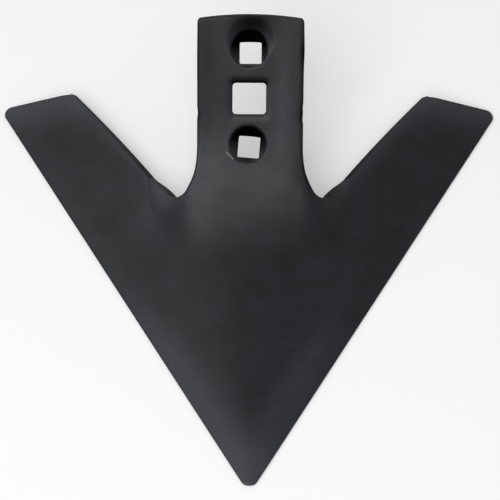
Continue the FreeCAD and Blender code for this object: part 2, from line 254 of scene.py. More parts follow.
# Holes by their place up the stem from the bend's corner. A bolt hole's dimple is a cone from its ring, which
# lies higher than the hole and a little aside, to its throat. The middle hole's rim is rolled in
holes = {
    "upper": {"x": 0.0, "up": 94.0, "width": 13.0, "height": 13.6, "corner": 0.9, "turn": 0.0,
              "ring": 11.3, "rise": 3.3, "shift": 0.8, "throat": 6.3, "depth": 3.6},
    "middle": {"x": -0.6, "up": 66.6, "width": 20.1, "height": 20.1, "corner": 2.2, "turn": 0.0,
               "rollIn": 0.5, "rollWidth": 3.6},
    "lower": {"x": -0.6, "up": 36.85, "width": 13.0, "height": 13.6, "corner": 0.9, "turn": -4.7,
              "ring": 11.1, "rise": 3.25, "shift": 0.6, "throat": 6.3, "depth": 3.6},
}
# Pressed into the front: a ball's hollow at the stem's end and the dimples, with how softly each lip runs out
hollow = {"up": 103.0, "radius": 42.0, "depth": 2.4, "lip": 0.35}
dimples = {
    "lip": 0.5,
    "topLevel": -2,         # how far above its ring a cone counts, in depths
    "ringsAway": 2,         # and how far from its middle, in ring radii
}
dimpled = [hole for hole in holes.values() if "ring" in hole]

stemAngle = math.radians(form["stemAngle"])
ridgeAngle = math.radians(form["ridgeAngle"])
bendTangent = form["bendRadius"] * math.tan((stemAngle - ridgeAngle) / 2)
bendStart = form["bendCorner"] - bendTangent * math.cos(ridgeAngle)
bendEnd = form["bendCorner"] + bendTangent * math.cos(stemAngle)
bendCentreY = bendStart - form["bendRadius"] * math.sin(ridgeAngle)
bendCentreZ = bendStart * math.tan(ridgeAngle) + form["bendRadius"] * math.cos(ridgeAngle)
edgeSlope = math.hypot(math.tan(math.radians(blank["edgeAngle"])), form["ridgeSpread"])
ridgeFall = math.tan(ridgeAngle) / (edgeSlope - form["ridgeSpread"])


def stemToPlan(up, through):
    # plan y of a point up the stem, so far through the plate; below the flat stem it lies in the bend
    if up >= bendTangent:
        return form["bendCorner"] + up * math.cos(stemAngle)
    short = math.asin((bendTangent - up) / (form["bendRadius"] - through))
    return bendCentreY + form["bendRadius"] * math.sin(stemAngle - short)


def planToStem(y, through):
    # the reverse, for an array of plan y
    turn = stemAngle - np.arcsin(np.clip((y - bendCentreY) / form["bendRadius"], -1, 1))
    inBend = bendTangent - (form["bendRadius"] - through) * np.sin(turn)
    return np.where(y < bendEnd, inBend, (y - form["bendCorner"]) / math.cos(stemAngle))


def tangentCentre(first, second, firstDistance, secondDistance):
    # of an arc, by how far it lies from two points
    base = second - first
    along = (firstDistance ** 2 - secondDistance ** 2 + base.length ** 2) / (2 * base.length)
    aside = math.sqrt(firstDistance ** 2 - along ** 2)
    base.normalize()
    return first + base * along + Vector((base.y, -base.x)) * aside


def rightOutline():
    # right half from the point to the stem's end: a run is (start, end), an arc (start, centre, end)
    edge = math.radians(blank["edgeAngle"])
    lean = math.radians(blank["wingEndAngle"])
    edgeNormal = Vector((math.cos(edge), -math.sin(edge)))
    endNormal = Vector((math.sin(lean), math.cos(lean)))
    noseCentre = Vector((0, blank["noseRadius"] / math.sin(edge)))
    noseEnd = noseCentre + edgeNormal * blank["noseRadius"]
    tipX = blank["tipSpan"] / 2 - blank["tipRadius"]
    tipY = (tipX + blank["tipRadius"] * edgeNormal.x) / math.tan(edge) - blank["tipRadius"] * edgeNormal.y
    tipCentre = Vector((tipX, tipY))
    tipStart = tipCentre + edgeNormal * blank["tipRadius"]
    tipEnd = tipCentre + endNormal * blank["tipRadius"]
    innerX = blank["wingEndSpan"] / 2
    inner = Vector((innerX, tipEnd.y + (tipEnd.x - innerX) * math.tan(lean)))
    notch = Vector((blank["notchSpacing"] / 2, blank["notchBottom"] + blank["notchRadius"]))
    trail = tangentCentre(notch, inner, blank["trailRadius"] + blank["notchRadius"], blank["trailRadius"])
    trailEnd = notch + (trail - notch).normalized() * blank["notchRadius"]
    side = blank["stemWidth"] / 2
    reach = side + blank["flareRadius"] - notch.x
    between = blank["flareRadius"] - blank["notchRadius"]
    flare = notch + Vector((reach, math.sqrt(between ** 2 - reach ** 2)))
    flareStart = flare + (notch - flare).normalized() * blank["flareRadius"]
    flareEnd = Vector((side, flare.y))
    crownRadius = blank["endRadius"] / math.cos(stemAngle)
    crown = Vector((0, form["bendCorner"] + blank["stemLength"] * math.cos(stemAngle) - crownRadius))
    cornerX = side - blank["endCorner"]
    corner = Vector((cornerX, crown.y + math.sqrt((crownRadius - blank["endCorner"]) ** 2 - cornerX ** 2)))
    cornerStart = corner + Vector((blank["endCorner"], 0))
    cornerEnd = crown + (corner - crown).normalized() * crownRadius
    return {
        "nose": (noseCentre - Vector((0, blank["noseRadius"])), noseCentre, noseEnd),
        "cuttingEdge": (noseEnd, tipStart),
        "tip": (tipStart, tipCentre, tipEnd),
        "wingEnd": (tipEnd, inner),
        "trailingEdge": (inner, trail, trailEnd),
        "notch": (trailEnd, notch, flareStart),
        "flare": (flareStart, flare, flareEnd),
        "stemSide": (flareEnd, cornerStart),
        "endCorner": (cornerStart, corner, cornerEnd),
        "stemEnd": (cornerEnd, crown, crown + Vector((0, crownRadius))),
    }


rightHalf = rightOutline()


def sampleStretch(stretch):
    # points along one run or arc, without the last
    start, end = stretch[0], stretch[-1]
    if len(stretch) == 2:
        count = max(1, round((end - start).length / fineness["outline"]))
        return [start.lerp(end, i / count) for i in range(count)]
    centre = stretch[1]
    turn = -(start - centre).angle_signed(end - centre)
    length = abs(turn) * (start - centre).length
    coarsest = math.radians(fineness["coarsestTurn"])
    count = max(2, round(length / fineness["outline"]), math.ceil(abs(turn) / coarsest))
    return [centre + Matrix.Rotation(turn * i / count, 2) @ (start - centre) for i in range(count)]


def sampleOutline():
    # the whole outline counter-clockwise: points, outward normals, width and depth of the die roll
    points, rolls = [], []
    for name, stretch in rightHalf.items():
        more = sampleStretch(stretch)
        points += more
        rolls += [dieRoll[name]] * len(more)
    mirrored = [Vector((-p.x, p.y)) for p in reversed(points[1:])]
    points = np.array([p[:] for p in points + [rightHalf["stemEnd"][2]] + mirrored])
    rolls = np.array(rolls + [dieRoll["stemEnd"]] + rolls[:0:-1])
    steps = np.roll(points, -1, axis=0) - points
    lengths = np.linalg.norm(steps, axis=1)
    outs = steps / lengths[:, None]
    ins = np.roll(outs, 1, axis=0)
    normals = np.stack([ins[:, 1] + outs[:, 1], -ins[:, 0] - outs[:, 0]], axis=1)
    normals /= np.linalg.norm(normals, axis=1)[:, None]
    miter = np.sqrt((1 + np.sum(ins * outs, axis=1)) / 2)
    # the roll changes softly from one stretch to the next
    place = np.cumsum(lengths)
    apart = np.abs(place[:, None] - place[None, :])
    apart = np.minimum(apart, place[-1] - apart)
    weights = np.exp(-(apart / blank["rollSoftness"]) ** 2) * (lengths + np.roll(lengths, 1))[None, :]
    rolls = weights @ rolls / weights.sum(axis=1)[:, None]
    for side, up, reach, depth in nicks:
        away = np.hypot(points[:, 0] - side * blank["stemWidth"] / 2, planToStem(points[:, 1], 0) - up)
        share = np.exp(-(away / reach) ** 2)
        points = points - normals * (share * depth)[:, None]
        rolls = rolls + np.stack([share, share], axis=1) * max(depth, 0)
    return points, normals / miter[:, None], rolls


def squareLoop(hole):
    # rounded square on the stem, counter-clockwise: (x, up) points and outward normals
    points, normals = [], []
    halfX = hole["width"] / 2 - hole["corner"]
    halfY = hole["height"] / 2 - hole["corner"]
    corners = [Vector(c) for c in ((halfX, -halfY), (halfX, halfY), (-halfX, halfY), (-halfX, -halfY))]
    cornerSteps = fineness["holeCorner"]
    for i, corner in enumerate(corners):
        for j in range(cornerSteps + 1):
            angle = math.radians(90 * (i - 1 + j / cornerSteps))
            normal = Vector((math.cos(angle), math.sin(angle)))
            points.append(corner + normal * hole["corner"])
            normals.append(normal)
        side = corners[(i + 1) % 4] - corner
        count = round(side.length / fineness["holeSide"])
        start = points[-1]
        for j in range(1, count):
            points.append(start + side * (j / count))
            normals.append(normals[-1])
    centre = Vector((hole["x"], hole["up"]))
    turn = Matrix.Rotation(math.radians(hole["turn"]), 2)
    return [centre + turn @ p for p in points], [turn @ n for n in normals]


def softMax(a, b, width):
    # the larger of two, blended where they are within a width of each other
    share = np.clip(0.5 + 0.5 * (a - b) / width, 0, 1)
    return b + (a - b) * share + width * share * (1 - share)


def fromDimple(hole, x, y):
    # across and up the stem from the middle of a dimple's ring, for arrays of plan x and y
    return x - (hole["x"] - hole["shift"]), planToStem(y, blank["thickness"]) - (hole["up"] + hole["rise"])


def sink(x, y):
    # how far the front face is pressed in, for arrays of plan x and y
    up = planToStem(y, blank["thickness"])
    reach = x ** 2 + (up - hollow["up"]) ** 2
    ball = np.sqrt(np.maximum(hollow["radius"] ** 2 - reach, 0)) - hollow["radius"] + hollow["depth"]
    depth = softMax(np.zeros_like(x), ball, hollow["lip"])
    # in the bend the front face stands proud of the stem's own plane
    frontRadius = form["bendRadius"] - blank["thickness"]
    short = np.arcsin(np.clip((bendTangent - up) / frontRadius, 0, 1))
    proud = frontRadius * (1 - np.cos(short))
    for hole in dimpled:
        # oblique cone, whose level is 0 at its ring and 1 at its throat
        fall = hole["ring"] - hole["throat"]
        across, upward = fromDimple(hole, x, y)
        a = hole["shift"] ** 2 + hole["rise"] ** 2 - fall ** 2
        b = hole["ring"] * fall - (across * hole["shift"] - upward * hole["rise"])
        c = across ** 2 + upward ** 2 - hole["ring"] ** 2
        level = (-b + np.sqrt(np.maximum(b * b - a * c, 0))) / a
        cone = np.clip(level, dimples["topLevel"], 1) * hole["depth"] + proud
        near = np.hypot(across, upward) < dimples["ringsAway"] * hole["ring"]
        depth = softMax(depth, np.where(near, cone, 0), dimples["lip"])
    hole = holes["middle"]
    across = np.maximum(np.abs(x - hole["x"]) - hole["width"] / 2, 0)
    upward = np.maximum(np.abs(up - hole["up"]) - hole["height"] / 2, 0)
    near = np.clip(1 - np.hypot(across, upward) / hole["rollWidth"], 0, 1)
    return depth + hole["rollIn"] * near ** 2


def hexGrid(low, high, cell):
    # points a cell apart in staggered rows
    rows = np.arange(low[1], high[1], cell * math.sqrt(3) / 2)
    points = []
    for i, y in enumerate(rows):
        xs = np.arange(low[0] + (i % 2) * cell / 2, high[0], cell)
        points.append(np.stack([xs, np.full_like(xs, y)], axis=1))
    return np.concatenate(points)


def insidePolygon(points, polygon):
    # a point is inside if the sides to its right are an odd number
    inside = np.zeros(len(points), bool)
    for (ax, ay), (bx, by) in zip(polygon, np.roll(polygon, -1, axis=0)):
        if ay != by:
            crosses = (ay > points[:, 1]) != (by > points[:, 1])
            inside ^= crosses & (points[:, 0] < (bx - ax) * (points[:, 1] - ay) / (by - ay) + ax)
    return inside


def distanceTo(points, path, closed=True):
    # from each point to the nearest place on a path
    nearest = np.full(len(points), np.inf)
    ends = np.roll(path, -1, axis=0) if closed else path[1:]
    for a, b in zip(path, ends):
        side = b - a
        share = np.clip(((points - a) @ side) / (side @ side), 0, 1)
        gap = points - a - share[:, None] * side
        nearest = np.minimum(nearest, np.einsum("ij,ij->i", gap, gap))
    return np.sqrt(nearest)


def fillFace(loops, cell, spots=(), crease=None):
    # triangles between the first loop and the others, finer in the spots, with edges along the crease
    coarse = hexGrid(loops[0].min(axis=0), loops[0].max(axis=0), cell)
    candidates = []
    for x, y, radiusX, radiusY in spots:
        far = ((coarse[:, 0] - x) / radiusX) ** 2 + ((coarse[:, 1] - y) / radiusY) ** 2 > 1
        coarse = coarse[far]
        fine = hexGrid((x - radiusX, y - radiusY), (x + radiusX, y + radiusY), fineness["dimple"])
        close = ((fine[:, 0] - x) / radiusX) ** 2 + ((fine[:, 1] - y) / radiusY) ** 2 < 1
        candidates.append((fine[close], fineness["dimple"]))
    candidates.insert(0, (coarse, cell))
    kept = []
    for points, size in candidates:
        good = insidePolygon(points, loops[0])
        for loop in loops[1:]:
            good &= ~insidePolygon(points, loop)
        points = points[good]
        clear = size * fineness["clearOfEdge"]
        for loop in loops:
            points = points[distanceTo(points, loop) > clear]
        if crease is not None:
            points = points[distanceTo(points, crease, closed=False) > clear]
        kept.append(points)
    edges = []
    start = 0
    for loop in loops:
        count = len(loop)
        edges += [(start + i, start + (i + 1) % count) for i in range(count)]
        start += count
    if crease is not None:
        edges += [(start + i, start + i + 1) for i in range(len(crease) - 1)]
        kept.insert(0, crease)
    flat = np.concatenate(loops + kept)
    insideOnly = 1
    nearness = 1e-6
    result = delaunay_2d_cdt([Vector(p) for p in flat], edges, [], insideOnly, nearness)
    verts = np.array([v[:] for v in result[0]])
    faces = np.array(result[2])
    middles = verts[faces].mean(axis=1)
    good = np.ones(len(faces), bool)
    for loop in loops[1:]:
        good &= ~insidePolygon(middles, loop)
    return verts, faces[good]


def grindLine(outline):
    # where the level grinding under the cutting edges starts, across the plan from wing to wing
    level = form["grindHeight"] / ridgeFall
    x = np.arange(0, blank["tipSpan"] / 2, fineness["outline"])
    a = edgeSlope ** 2 - form["ridgeSpread"] ** 2
    b = edgeSlope * level
    y = (b + np.sqrt(b * b - a * (level ** 2 - x ** 2 - form["ridgeRound"] ** 2))) / a
    half = np.stack([x, y], axis=1)
    half = half[insidePolygon(half, outline)]
    half = half[distanceTo(half, outline) > fineness["clearOfOutline"]]
    return np.concatenate([half[:0:-1] * (-1, 1), half])


# Painted highlights along the edges, on the nose, the stem and the bend, partly wear of the lacquer, and
# scratches through it, in mm on the plan
wearAndHighlights = {
    # painted highlights, partly rubbing, along the outline: side, first y, last y, distance in, width, share
    "bands": {
        "cuttingEdge": [
            (-1, -10.0, 118.0, 4.0, 13.0, 0.75),
            (-1, 118.0, 240.0, 4.0, 7.0, 0.2),
            (1, 25.0, 100.0, 14.0, 8.0, 0.4),
            (1, -10.0, 90.0, 3.0, 7.0, 0.25),
        ],
        "wingEnd": [(-1, 0.0, 400.0, 0.0, 15.0, 0.9), (1, 0.0, 400.0, 0.0, 13.0, 0.7)],
        "trailingEdge": [(-1, 0.0, 400.0, 0.0, 6.0, 0.6), (1, 0.0, 400.0, 0.0, 7.0, 0.5)],
    },
    "bandEnds": 9.0,        # over which a band starts and ends
    "sideChange": 4.0,      # over which one side's bands give way to the other's
    # painted highlights on the nose, the stem and the bend: x, y, half width, half depth, share
    "spots": [
        (0.0, 9.0, 18.0, 22.0, 0.7),
        (19.5, 226.0, 5.0, 24.0, 0.6),
        (-52.0, 186.0, 18.0, 14.0, 0.45),
        (0.0, 198.0, 36.0, 20.0, 0.22),
        (-8.0, 214.0, 16.0, 8.0, 0.25),
        (-29.0, 197.0, 8.0, 16.0, 0.4),
    ],
    # painted highlight on each dimple's lower rim, just beyond its ring
    "dimpleRim": {"beyond": 0.9, "width": 0.6, "share": 0.22},
    # thin straight marks through the lacquer, with their height in the plate
    "marks": [
        {"start": (-14.4, 207.2, 6.0), "end": (-10.1, 203.8, 6.0), "width": 0.45, "share": 0.8},
        {"start": (17.0, 94.2, 6.35), "end": (38.4, 88.2, 6.35), "width": 0.6, "share": 0.03},
    ],
}
# Painted shade on the front, in the hollow, at the holes' mouths, at the stem's edges and on the bend: x, y,
# half width, half depth, half length of a straight middle, share
paintedShade = {
    "spots": [
        (1.5, 261.6, 10.0, 7.0, 2.0, 0.78),
        (-0.6, 237.2, 1.6, 1.8, 9.6, 1.0),
        (31.5, 249.3, 2.0, 4.1, 0.0, 0.7),
        (31.5, 223.7, 2.0, 3.8, 0.0, 0.8),
        (-31.5, 223.4, 2.0, 2.4, 0.0, 0.6),
        (31.0, 197.0, 9.0, 12.0, 0.0, 0.5),
        (46.0, 190.0, 12.0, 10.0, 0.0, 0.3),
        (-27.0, 248.0, 8.0, 20.0, 0.0, 0.25),
        (-31.8, 240.0, 1.6, 25.0, 0.0, 0.3),
        (31.8, 240.0, 1.6, 25.0, 0.0, 0.3),
        (-32.0, 197.0, 8.0, 14.0, 0.0, 0.32),
        (-1.0, 203.2, 8.0, 2.2, 0.0, 0.3),
        (3.0, 61.8, 13.0, 21.0, 0.0, 0.08),
    ],
    # painted shade in each dimple, darker towards its upper side
    "dimple": {"atMiddle": 0.72, "rise": 1.2, "softness": 0.4},
}
# Share of the cut wall's dull black on the points where a wall meets its rounded edges
cutEdge = {"rim": 0.5, "hole": 0.6}


def softStep(distance):
    # 0 far below nought and 1 far above it, with exp kept in its range
    farthest = 50
    return 1 / (1 + np.exp(np.clip(-distance, -farthest, farthest)))


def rubbedAndHighlit(x, y):
    # share of painted highlight, partly rubbing, at arrays of plan x and y
    share = np.zeros_like(x)
    points = np.stack([np.abs(x), y], axis=1)
    for name, bands in wearAndHighlights["bands"].items():
        path = np.array([p[:] for p in sampleStretch(rightHalf[name]) + [rightHalf[name][-1]]])
        away = distanceTo(points, path, closed=False)
        for side, first, last, inwards, width, amount in bands:
            ends = softStep((last - y) / wearAndHighlights["bandEnds"]) * softStep((y - first) / wearAndHighlights["bandEnds"])
            hand = softStep(side * x / wearAndHighlights["sideChange"])
            share += amount * np.exp(-((away - inwards) / width) ** 2) * ends * hand
    for spotX, spotY, halfX, halfY, amount in wearAndHighlights["spots"]:
        share += amount * np.exp(-((x - spotX) / halfX) ** 2 - ((y - spotY) / halfY) ** 2)
    rim = wearAndHighlights["dimpleRim"]
    for hole in dimpled:
        across, upward = fromDimple(hole, x, y)
        away = np.hypot(across, upward) - hole["ring"] - rim["beyond"]
        below = np.clip(-upward / hole["ring"], 0, 1)
        share += rim["share"] * below * np.exp(-(away / rim["width"]) ** 2)
    return share


def paintedShadeShare(x, y):
    # share of painted shade at arrays of plan x and y
    share = np.zeros_like(x)
    dimple = paintedShade["dimple"]
    for hole in dimpled:
        across, upward = fromDimple(hole, x, y)
        inRing = softStep((hole["ring"] - np.hypot(across, upward)) / dimple["softness"])
        share += inRing * np.clip(dimple["atMiddle"] + dimple["rise"] * upward / hole["ring"], 0, 1)
    for spotX, spotY, halfX, halfY, straight, amount in paintedShade["spots"]:
        aside = np.maximum(np.abs(x - spotX) - straight, 0)
        share += amount * np.exp(-(aside / halfX) ** 2 - ((y - spotY) / halfY) ** 2)
    return np.clip(share, 0, 1)


def rimRows():
    # loops of points from the front over the die roll, down the wall and round the back's edge
    thick = blank["thickness"]
    points, normals, rolls = sampleOutline()
    # insets shrink where the stem foreshortens them
    bent = np.clip((points[:, 1] - bendStart) / (bendEnd - bendStart), 0, 1)
    scale = np.stack([np.ones(len(points)), 1 - bent * (1 - math.cos(stemAngle))], axis=1)
    outwards = normals * scale
    topLoop = points - outwards * rolls[:, :1]
    pressed = sink(topLoop[:, 0], topLoop[:, 1])
    rows = []
    for i in range(fineness["roll"] + 1):
        angle = math.radians(90 * i / fineness["roll"])
        row = points - outwards * rolls[:, :1] * (1 - math.sin(angle))
        heights = thick - pressed - rolls[:, 1] * (1 - math.cos(angle))
        rows.append([(p[0], p[1], h) for p, h in zip(row, heights)])
    for i in range(1, fineness["wall"] + 1):
        heights = thick - pressed - rolls[:, 1]
        heights += (blank["bottomRounding"] - heights) * i / fineness["wall"]
        rows.append([(p[0], p[1], h) for p, h in zip(points, heights)])
    for i in range(1, fineness["bottom"] + 1):
        angle = math.radians(90 * i / fineness["bottom"])
        row = points - outwards * blank["bottomRounding"] * (1 - math.cos(angle))
        rows.append([(p[0], p[1], blank["bottomRounding"] * (1 - math.sin(angle))) for p in row])
    edge = [cutEdge["rim"]]
    cut = [0.0] * fineness["roll"] + edge + [1.0] * (fineness["wall"] - 1) + edge + [0.0] * fineness["bottom"]
    return rows, cut


def holeRows(hole):
    # loops of points from a hole's mouth round its edge and down its wall, square to the stem
    thick = blank["thickness"]
    rounding = blank["holeRounding"]
    loop, normals = squareLoop(hole)
    wide = [p + n * rounding for p, n in zip(loop, normals)]
    mouth = np.array([(p.x, stemToPlan(p.y, thick)) for p in wide])
    pressed = sink(mouth[:, 0], mouth[:, 1])
    rows = []
    for i in range(fineness["mouth"] + 1):
        angle = math.radians(90 * i / fineness["mouth"])
        row = [p + n * rounding * (1 - math.sin(angle)) for p, n in zip(loop, normals)]
        heights = thick - pressed - rounding * (1 - math.cos(angle))
        rows.append([(p.x, stemToPlan(p.y, thick), h) for p, h in zip(row, heights)])
    for i in range(1, fineness["holeWall"] + 1):
        heights = (thick - pressed - rounding) * (1 - i / fineness["holeWall"])
        rows.append([(p.x, stemToPlan(p.y, h), h) for p, h in zip(loop, heights)])
    return rows, [0.0] * fineness["mouth"] + [cutEdge["hole"]] + [1.0] * fineness["holeWall"]


def quadBand(start, rows):
    # closed band of quads between loops of equal length, whose points are numbered from start
    count = len(rows[0])
    quads = []
    for j in range(len(rows) - 1):
        first = start + j * count
        for i in range(count):
            k = (i + 1) % count
            quads.append((first + i, first + k, first + count + k, first + count + i))
    return quads


def weld(mesh, crease):
    # joins the walls to the two faces and marks the grinding line sharp
    reach = 1e-3
    work = bmesh.new()
    work.from_mesh(mesh)
    bmesh.ops.remove_doubles(work, verts=work.verts, dist=reach)
    bmesh.ops.recalc_face_normals(work, faces=work.faces)
    along = {(round(x, 3), round(y, 3)): i for i, (x, y) in enumerate(crease)}
    for edge in work.edges:
        places = [along.get((round(v.co.x, 3), round(v.co.y, 3))) for v in edge.verts if v.co.z == 0]
        onCrease = len(places) == 2 and None not in places
        edge.smooth = not (onCrease and abs(places[0] - places[1]) == 1)
    print("blank:", len(work.verts), "points,", sum(not edge.smooth for edge in work.edges), "crease edges,",
          sum(not edge.is_manifold for edge in work.edges), "open edges")
    work.to_mesh(mesh)
    work.free()


def makeBlank():
    # flat plate with die roll, punched squares and pressed dimples
    thick = blank["thickness"]
    walls = [rimRows()] + [holeRows(hole) for hole in holes.values()]
    verts, faces, cut = [], [], []
    for i, (rows, shares) in enumerate(walls):
        # a hole's wall looks inwards
        rows = [row[::-1] for row in rows] if i else rows
        faces += quadBand(len(verts), rows)
        for row, share in zip(rows, shares):
            verts += row
            cut += [share] * len(row)
    topLoops = [np.array([p[:2] for p in rows[0]]) for rows, shares in walls]
    bottomLoops = [np.array([p[:2] for p in rows[-1]]) for rows, shares in walls]
    reach = fineness["dimpleReach"]
    spots = [(hole["x"], stemToPlan(hole["up"] + hole["rise"], thick), reach, reach * math.cos(stemAngle))
             for hole in dimpled]
    crease = grindLine(bottomLoops[0])
    front = fillFace(topLoops, fineness["front"], spots)
    back = fillFace(bottomLoops, fineness["back"], crease=crease)
    for (flat, triangles), isFront in ((front, True), (back, False)):
        start = len(verts)
        heights = thick - sink(flat[:, 0], flat[:, 1]) if isFront else np.zeros(len(flat))
        verts += [(p[0], p[1], h) for p, h in zip(flat, heights)]
        cut += [0.0] * len(flat)
        for triangle in triangles:
            faces.append(tuple(start + int(i) for i in (triangle if isFront else triangle[::-1])))
    mesh = bpy.data.meshes.new("blank")
    mesh.from_pydata(verts, [], faces)
    plan = np.array(verts)
    # the painted highlights, partly rubbing, show on the plate's upper half, and the painted shade on its
    # upper two thirds
    shares = {
        "rubAndHighlight": rubbedAndHighlit(plan[:, 0], plan[:, 1]) * (plan[:, 2] > thick / 2),
        "cut": np.array(cut),
        "paintedShade": paintedShadeShare(plan[:, 0], plan[:, 1]) * (plan[:, 2] > thick / 3),
    }
    for name, values in shares.items():
        mesh.attributes.new(name, "FLOAT", "POINT").data.foreach_set("value", values.astype(np.float32))
    places = mesh.attributes.new("plan", "FLOAT_VECTOR", "POINT")
    places.data.foreach_set("vector", plan.astype(np.float32).ravel())
    weld(mesh, crease)
    piece = bpy.data.objects.new("lacqueredSweep", mesh)
    bpy.context.collection.objects.link(piece)
    return piece


# From a notch's middle to the inner corner of the wing's end
notchMiddle = rightHalf["notch"][1]
innerCorner = rightHalf["wingEnd"][1]
# Named inputs of the forming tree: the bent form in mm, and what grinds, places and scales it
formInputs = {
    "Edge slope": edgeSlope,
    "Ridge fall": ridgeFall,
    "Ridge spread": form["ridgeSpread"],
    "Ridge round": form["ridgeRound"],
    "Ridge slope": math.tan(ridgeAngle),
    "Stem slope": math.tan(stemAngle),
    "Bend radius": form["bendRadius"],
    "Bend start": bendStart,
    "Bend end": bendEnd,
    "Bend centre y": bendCentreY,
    "Bend centre z": bendCentreZ,
    "Bend half width": form["bendHalfWidth"],
    "Stem half width": blank["stemWidth"] / 2 + form["stemMargin"],
    "Fade half width": form["fadeHalfWidth"],
    "Fade start": blank["notchBottom"] + form["fadeDelay"],
    "Trail slope": (innerCorner.x - notchMiddle.x) / (innerCorner.y - notchMiddle.y),
}
placeInputs = {
    "Grind height": form["grindHeight"],
    "Nose to middle": form["noseToMiddle"],
    "Step": 0.05,           # between the heights that give the surface its normal
    "Unit": 0.001,          # a millimetre in metres
}

# Height of the formed underside over the plan: each line names a result, an operation and what it works on
heightSteps = [
    ("spread", "MULTIPLY", "Back", "Ridge spread"),
    ("spreadSquare", "MULTIPLY", "spread", "spread"),
    ("roundSquare", "MULTIPLY", "Ridge round", "Ridge round"),
    ("crestSquare", "ADD", "spreadSquare", "roundSquare"),
    ("acrossSquare", "MULTIPLY", "Across", "Across"),
    ("wingSquare", "ADD", "crestSquare", "acrossSquare"),
    ("crestRoot", "SQRT", "crestSquare"),
    ("wingRoot", "SQRT", "wingSquare"),
    ("edgeRun", "MULTIPLY", "Back", "Edge slope"),
    ("crestRun", "SUBTRACT", "edgeRun", "crestRoot"),
    ("wingRun", "SUBTRACT", "edgeRun", "wingRoot"),
    ("crest", "MULTIPLY", "crestRun", "Ridge fall"),
    ("wing", "MULTIPLY", "wingRun", "Ridge fall"),
    ("pastStart", "MAXIMUM", "Back", "Bend start"),
    ("inBend", "MINIMUM", "pastStart", "Bend end"),
    ("fromCentre", "SUBTRACT", "inBend", "Bend centre y"),
    ("fromCentreSquare", "MULTIPLY", "fromCentre", "fromCentre"),
    ("radiusSquare", "MULTIPLY", "Bend radius", "Bend radius"),
    ("dropSquare", "SUBTRACT", "radiusSquare", "fromCentreSquare"),
    ("drop", "SQRT", "dropSquare"),
    ("arc", "SUBTRACT", "Bend centre z", "drop"),
    ("beforeStart", "SUBTRACT", "Back", "Bend start"),
    ("beforeOnly", "MINIMUM", "beforeStart", 0.0),
    ("beforeRise", "MULTIPLY", "beforeOnly", "Ridge slope"),
    ("afterEnd", "SUBTRACT", "Back", "Bend end"),
    ("afterOnly", "MAXIMUM", "afterEnd", 0.0),
    ("afterRise", "MULTIPLY", "afterOnly", "Stem slope"),
    ("bendRise", "ADD", "beforeRise", "afterRise"),
    ("middle", "ADD", "arc", "bendRise"),
    ("ridgeLine", "MULTIPLY", "Back", "Ridge slope"),
    ("rise", "SUBTRACT", "middle", "ridgeLine"),
    ("wideningRange", "SUBTRACT", "Stem half width", "Bend half width"),
    ("widening", "MULTIPLY", "wideningRange", "bent"),
    ("fullWidth", "ADD", "Bend half width", "widening"),
    ("pastFade", "SUBTRACT", "Back", "Fade start"),
    ("pastFadeOnly", "MAXIMUM", "pastFade", 0.0),
    ("fadeSpread", "MULTIPLY", "pastFadeOnly", "Trail slope"),
    ("fadedWidth", "ADD", "Fade half width", "fadeSpread"),
    ("acrossSize", "ABSOLUTE", "Across"),
    ("crestOverWing", "SUBTRACT", "crest", "wing"),
    ("flattening", "MULTIPLY", "crestOverWing", "bent"),
    ("lift", "ADD", "rise", "flattening"),
    ("sharedLift", "MULTIPLY", "lift", "share"),
    ("height", "ADD", "wing", "sharedLift"),
]
# Soft changes from 0 to 1 or back, each made before the step that first needs it
softSteps = {
    "wideningRange": ("bent", "Back", "Bend start", "Bend end", 0.0, 1.0),
    "crestOverWing": ("share", "acrossSize", "fullWidth", "fadedWidth", 1.0, 0.0),
}


def addInputs(tree, sizes):
    for name, value in sizes.items():
        socket = tree.interface.new_socket(name, in_out="INPUT", socket_type="NodeSocketFloat")
        socket.default_value = value


def heightGroup():
    # the steps above as a group of its own
    tree = bpy.data.node_groups.new("formed height", "GeometryNodeTree")
    addInputs(tree, {"Across": 0.0, "Back": 0.0, **formInputs})
    tree.interface.new_socket("Height", in_out="OUTPUT", socket_type="NodeSocketFloat")
    known = {socket.name: socket for socket in addNode(tree, "NodeGroupInput").outputs if socket.name}
    for name, operation, *terms in heightSteps:
        if name in softSteps:
            soft, value, low, high, start, end = softSteps[name]
            inputs = {0: known[value], 1: known[low], 2: known[high], 3: start, 4: end}
            known[soft] = addNode(tree, "ShaderNodeMapRange", {"interpolation_type": "SMOOTHERSTEP"},
                                  inputs).outputs[0]
        inputs = {i: known.get(term, term) for i, term in enumerate(terms)}
        known[name] = addNode(tree, "ShaderNodeMath", {"operation": operation}, inputs).outputs[0]
    addNode(tree, "NodeGroupOutput", inputs={"Height": known["height"]})
    return tree


